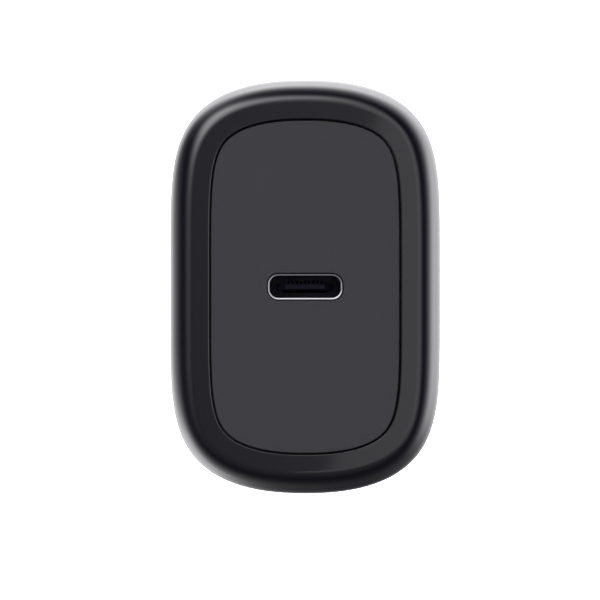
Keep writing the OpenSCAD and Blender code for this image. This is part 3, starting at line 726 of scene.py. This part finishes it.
aramid = Finish("aramid_paper", (0.66, 0.62, 0.50), 0.8)
fibre = aramid.cloud(3, 5, (1, 0.3, 1))
aramid.set("Base Color", aramid.blend(fibre, (0.58, 0.54, 0.42), (0.74, 0.71, 0.60)))
aramid.relief(fibre, 0.02, 0.5)
aramid.coat("insulating_sheet")

tin = Finish("solder_tin", (0.68, 0.69, 0.71), 0.3, 1.0)
tin.set("Roughness", 0.22 + 0.2 * tin.cloud(3, 3))
tin.coat("solder_joints")

# %% [markdown]
# ## Wound parts
#
# A transformer or choke is a ground grey-black ferrite core with wire or tape round it. Ferrite is
# pressed from grains, so it gets a fine speckle of cells. Turns of thin wire could be geometry,
# but thousands of them would swamp the mesh, so waves give both their relief and their change of
# tone. The bobbin is moulded phenolic, and the pins' springs are rolled bronze strip.

# %% Wound parts
ferrite = Finish("ground_ferrite", (0.035, 0.035, 0.04), 0.55)
speckle = ferrite.grains(9)
ferrite.set("Base Color", ferrite.blend(speckle, (0.024, 0.024, 0.027), (0.062, 0.062, 0.070)))
ferrite.set("Roughness", 0.45 + 0.25 * speckle)
ferrite.relief(speckle, 0.008, 0.4)
ferrite.coat("transformer_core", "choke_core", "drum_core")

copper = Finish("enamelled_copper", (0.62, 0.24, 0.09), 0.25, 1.0)
turns = copper.waves(1.3, "X")
copper.set("Base Color", copper.blend(turns, (0.42, 0.13, 0.045), (0.72, 0.30, 0.12)))
copper.set("Roughness", 0.2 + 0.15 * turns)
copper.relief(turns, 0.06, 0.8)
copper.coat("drum_winding", "choke_winding")

tape = Finish("winding_tape", (0.78, 0.50, 0.03), 0.3)
wrap = tape.waves(0.35, "Z", 0.4)
tape.set("Base Color", tape.blend(wrap, (0.66, 0.38, 0.02), (0.86, 0.60, 0.06)))
tape.set("Roughness", 0.24 + 0.14 * wrap)
tape.relief(wrap, 0.04, 0.6)
tape.coat("transformer_winding")

phenolic = Finish("bobbin_phenolic", (0.02, 0.019, 0.018), 0.45)
phenolic_grain = phenolic.cloud(2.5, 4)
phenolic.set("Base Color", phenolic.blend(
    phenolic_grain, (0.014, 0.013, 0.012), (0.030, 0.028, 0.027)))
phenolic.set("Roughness", 0.38 + 0.18 * phenolic_grain)
phenolic.coat("transformer_bobbin")

bronze = Finish("spring_bronze", (0.68, 0.38, 0.17), 0.28, 1.0)
rolled = bronze.cloud(4, 2, (1, 0.08, 1))
bronze.set("Roughness", 0.2 + 0.2 * rolled)
bronze.set("Base Color", bronze.blend(rolled, (0.60, 0.32, 0.13), (0.74, 0.44, 0.21)))
bronze.coat("pin_contact_upper", "pin_contact_lower")

# %% [markdown]
# ## Capacitors and dipped parts
#
# An electrolytic capacitor is a drawn aluminium can in a shrink sleeve, whose film folds a little
# as it shrinks. The film capacitor has a moulded case. The disc capacitor and the thermistor are
# dipped in epoxy, which runs before it sets, so slow noise gives them a lumpy gloss.

# %% Capacitors
aluminium = Finish("drawn_aluminium", (0.80, 0.81, 0.83), 0.26, 1.0)
brushed = aluminium.cloud(5, 2, (1, 1, 0.05))
aluminium.set("Roughness", 0.2 + 0.2 * brushed)
aluminium.set("Base Color", aluminium.blend(brushed, (0.72, 0.73, 0.75), (0.86, 0.87, 0.89)))
aluminium.coat("bulk_capacitor_front", "bulk_capacitor_rear", "output_capacitor")

shrink = Finish("shrink_sleeve_blue", (0.014, 0.022, 0.075), 0.28)
shrink_fold = shrink.waves(0.16, "X", 2.0)
shrink.set("Base Color", shrink.blend(shrink_fold, (0.010, 0.016, 0.060), (0.019, 0.030, 0.095)))
shrink.set("Roughness", 0.22 + 0.12 * shrink_fold)
shrink.relief(shrink_fold, 0.03, 0.3)
shrink.coat("bulk_sleeve_front", "bulk_sleeve_rear")

film_case = Finish("film_case_yellow", (0.78, 0.52, 0.05), 0.35)
film_mottle = film_case.cloud(1.5, 3)
film_case.set("Base Color", film_case.blend(film_mottle, (0.72, 0.46, 0.04), (0.84, 0.58, 0.07)))
film_case.set("Roughness", 0.3 + 0.14 * film_mottle)
film_case.coat("film_capacitor")


def dipped(name, dark, light, *nodes):
    """Epoxy that a part is dipped in: glossy, slightly lumpy and uneven in depth."""
    dip = Finish(name, light, 0.3)
    run = dip.cloud(0.7, 3)
    dip.set("Base Color", dip.blend(run, dark, light))
    dip.set("Roughness", 0.2 + 0.2 * run)
    dip.relief(run, 0.12, 0.5)
    dip.coat(*nodes)


dipped("dipped_blue", (0.02, 0.09, 0.34), (0.04, 0.16, 0.50), "disc_capacitor")
dipped("dipped_dark_green", (0.010, 0.016, 0.010), (0.022, 0.036, 0.022), "thermistor")

# %% [markdown]
# ## Chips, fuse and small blocks
#
# These are pressed or cast in moulds from a mineral-filled resin or a ceramic, and all show the
# same fine even grain. They differ only in colour and gloss, so one function finishes them all.

# %% Chips, fuse and small blocks
def cast(name, dark, light, roughness, *nodes):
    """Pressed or cast bodies with a fine even grain."""
    body_finish = Finish(name, light, roughness)
    body_grain = body_finish.grains(11)
    body_finish.set("Base Color", body_finish.blend(body_grain, dark, light))
    body_finish.set("Roughness", roughness - 0.05 + 0.2 * body_grain)
    body_finish.relief(body_grain, 0.006, 0.4)
    body_finish.coat(*nodes)


cast("chip_epoxy", (0.012, 0.012, 0.013), (0.024, 0.024, 0.026), 0.5,
     "bridge_rectifier", "optocoupler", "control_chip", "rectifier_chip", "port_chip")
cast("resistor_black", (0.014, 0.014, 0.016), (0.030, 0.030, 0.033), 0.4, "chip_resistors")
cast("capacitor_tan", (0.30, 0.21, 0.12), (0.42, 0.31, 0.19), 0.4, "chip_capacitors")
cast("fuse_ceramic", (0.62, 0.60, 0.54), (0.74, 0.72, 0.67), 0.35, "input_fuse")

# %% [markdown]
# ## The studio
#
# A glossy black object shows its lighting more than its colour, so the lights are laid out as
# what the rounded edge should mirror: a broad soft light that wraps from the upper left over the
# top and down the right side, a weaker one at the lower left and far left, a small key light at
# the upper left, a dim card beside the lens, and darkness below. Each soft lamp has a direction,
# given as a clock angle (0 is right, 90 is down) and an angle off the lens, and a width at which
# its light falls to half. All the lamps lie on one dome, the world, as patches of lit cloth.

# %% The lamps
LAMPS = [  # clock angle, angle off the lens, half width, strength
    (8, 14, 8.7, 1.13), (307, 16, 7.6, 1.38), (75, 19, 14.2, 0.24), (175, 24, 16.4, 0.37),
    (261, 27, 9.2, 3.42), (221, 29, 10.6, 3.91), (245, 38, 6.2, 2.18), (231, 45, 11.9, 4.93),
    (294, 67, 11.9, 0.82), (12, 77, 16.7, 2.33), (117, 84, 19.5, 1.14), (318, 85, 17.1, 3.22),
    (238, 85, 18.4, 1.40), (55, 90, 24.1, 0.42), (355, 90, 19.6, 5.55), (287, 96, 16.5, 7.13),
    (149, 98, 20.6, 5.44), (258, 101, 15.6, 6.54), (121, 104, 12.4, 2.63), (315, 110, 17.6, 4.29),
    (235, 111, 12.3, 2.24), (352, 125, 26.3, 3.56), (222, 126, 18.6, 3.17), (125, 130, 12.4, 1.93),
    (275, 130, 22.6, 3.98), (162, 131, 23.8, 3.14),
]
print("the strongest lamp stands at clock angle", max(LAMPS, key=lambda lamp: lamp[3])[0])

# %% [markdown]
# ## The dome as one formula
#
# Each lamp is a smooth bump of brightness on the dome: the cosine between the direction looked in
# and the lamp's own direction is put through an exponential, whose tightness follows from the half
# width. The bumps are added up. The card has a hard edge, because the flat ring mirrors it as a
# clean change from dark to light, and it fades out away from the lens.

# %% The dome of light
BASE_GLOW, CARD_GLOW, DAYLIGHT = 0.04, 0.65, (0.985, 0.98, 1.0, 1)
CARD_TILT, CARD_EDGE, CARD_FADE = 0.132, (0.0126, 0.0132), (0.08, 0.24)
AHEAD_ONLY, MIN_AHEAD = (0.1, 0.3), 0.05
world = bpy.data.worlds.new("studio_dome")
bpy.context.scene.world = world
world.use_nodes = True
dome = NodeTree(world.node_tree)
look = dome.add("ShaderNodeTexCoord", output="Generated")


def facing_to(direction):
    """The cosine between the direction looked in and this one."""
    return dome.add("ShaderNodeVectorMath", {"operation": "DOT_PRODUCT"},
                    {0: look, 1: direction}, "Value")


strength = BASE_GLOW
for clock, off_lens, width, power in LAMPS:
    clock, off_lens = math.radians(clock), math.radians(off_lens)
    across = math.sin(off_lens)
    lamp = (across * math.cos(clock), -math.cos(off_lens), -across * math.sin(clock))
    tightness = math.log(2) / (1 - math.cos(math.radians(width)))
    nearness = (facing_to(lamp) - 1) * tightness
    strength = power * nearness.exponential() + strength

ahead = facing_to((0, -1, 0))
in_front = ahead.at_least(MIN_AHEAD)
side, height = facing_to((1, 0, 0)) / in_front, facing_to((0, 0, 1)) / in_front
from_middle = (side * side + height * height).root()
card = (side - CARD_TILT * height).rise(*CARD_EDGE) * (1 - from_middle.rise(*CARD_FADE))
strength = strength + CARD_GLOW * card * ahead.rise(*AHEAD_ONLY)
light = dome.add("ShaderNodeBackground", None, {"Color": DAYLIGHT, "Strength": strength})
dome.feed(dome.tree.nodes["World Output"].inputs["Surface"], light)
print("the dome has", len(LAMPS), "lamps and", len(dome.tree.nodes), "nodes")

# %% [markdown]
# ## Floor and backdrop
#
# The plug holds the charger up, so the floor is well below it. Behind everything stands a plain
# white backdrop. Both are seen by the camera and neither is mirrored in the plastic, so they
# don't change the light that the dome gives.

# %% The stage
FLOOR_Z, FLOOR_R, BACKDROP_R = -0.7, 2.9, 3
FLOOR_GLOW, BACKDROP_GLOW = 0.45, 1.0


def staged(piece, glow):
    """Gives paper that glows a little, and hides the piece from every ray but the camera's."""
    paper = Finish(piece.name + "_paper", (0.85, 0.85, 0.85), 0.9)
    paper.set("Emission Color", (1, 1, 1, 1))
    paper.set("Emission Strength", glow)
    piece.data.materials.append(paper.material)
    piece.visible_diffuse = piece.visible_glossy = False
    piece.visible_transmission = piece.visible_shadow = False
    piece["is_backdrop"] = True
    print(piece.name, "has", len(piece.data.polygons), "faces")


turn = np.linspace(0, 2 * math.pi, 97)[:-1]
circle = np.stack([np.cos(turn), np.sin(turn)], axis=1)
floor_mesh = bpy.data.meshes.new("floor")
floor_mesh.from_pydata([(FLOOR_R * a, FLOOR_R * b, FLOOR_Z) for a, b in circle], [],
                       [tuple(range(len(circle)))])
floor = bpy.data.objects.new("floor", floor_mesh)
bpy.context.scene.collection.objects.link(floor)
staged(floor, FLOOR_GLOW)

levels = np.radians(np.linspace(-88, 88, 45))
backdrop_rings = [np.column_stack([BACKDROP_R * math.cos(level) * circle,
                                   np.full(len(circle), BACKDROP_R * math.sin(level))])
                  for level in levels]
staged(swept("backdrop", backdrop_rings, close=False, cap_ends=True), BACKDROP_GLOW)

# %% [markdown]
# ## The camera
#
# The charger is looked at straight from the front, from half a metre away, with a long lens, so
# its sides don't show and its outline stays true. The camera stands a little to the left of the
# middle and below it, which puts the charger slightly right of and above the centre.

# %% Place the camera
DISTANCE, FRAME_W, SENSOR = 0.5, 71.17 * MM, 36
CAMERA_X, CAMERA_Z = -0.61 * MM, -1.56 * MM
camera = bpy.data.objects.new("camera", bpy.data.cameras.new("camera"))
bpy.context.scene.collection.objects.link(camera)
camera.location = (CAMERA_X, FRONT + EDGE_R - DISTANCE, CAMERA_Z)
camera.rotation_euler = (math.pi / 2, 0, 0)
camera.data.sensor_width = SENSOR
camera.data.lens = SENSOR * DISTANCE / FRAME_W
camera.data.clip_end = 10
bpy.context.scene.camera = camera
bpy.context.scene.view_settings.view_transform = "Standard"
print("the lens is", round(camera.data.lens), "mm")

# %% [markdown]
# ## The size of the visible pieces
#
# The looks mustn't change the part's size, so the box of the visible pieces is printed.

# %% Write the sizes
seen_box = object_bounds()
seen_size = seen_box[1] - seen_box[0]
print("the visible pieces are", [round(length / MM, 2) for length in seen_size], "mm")
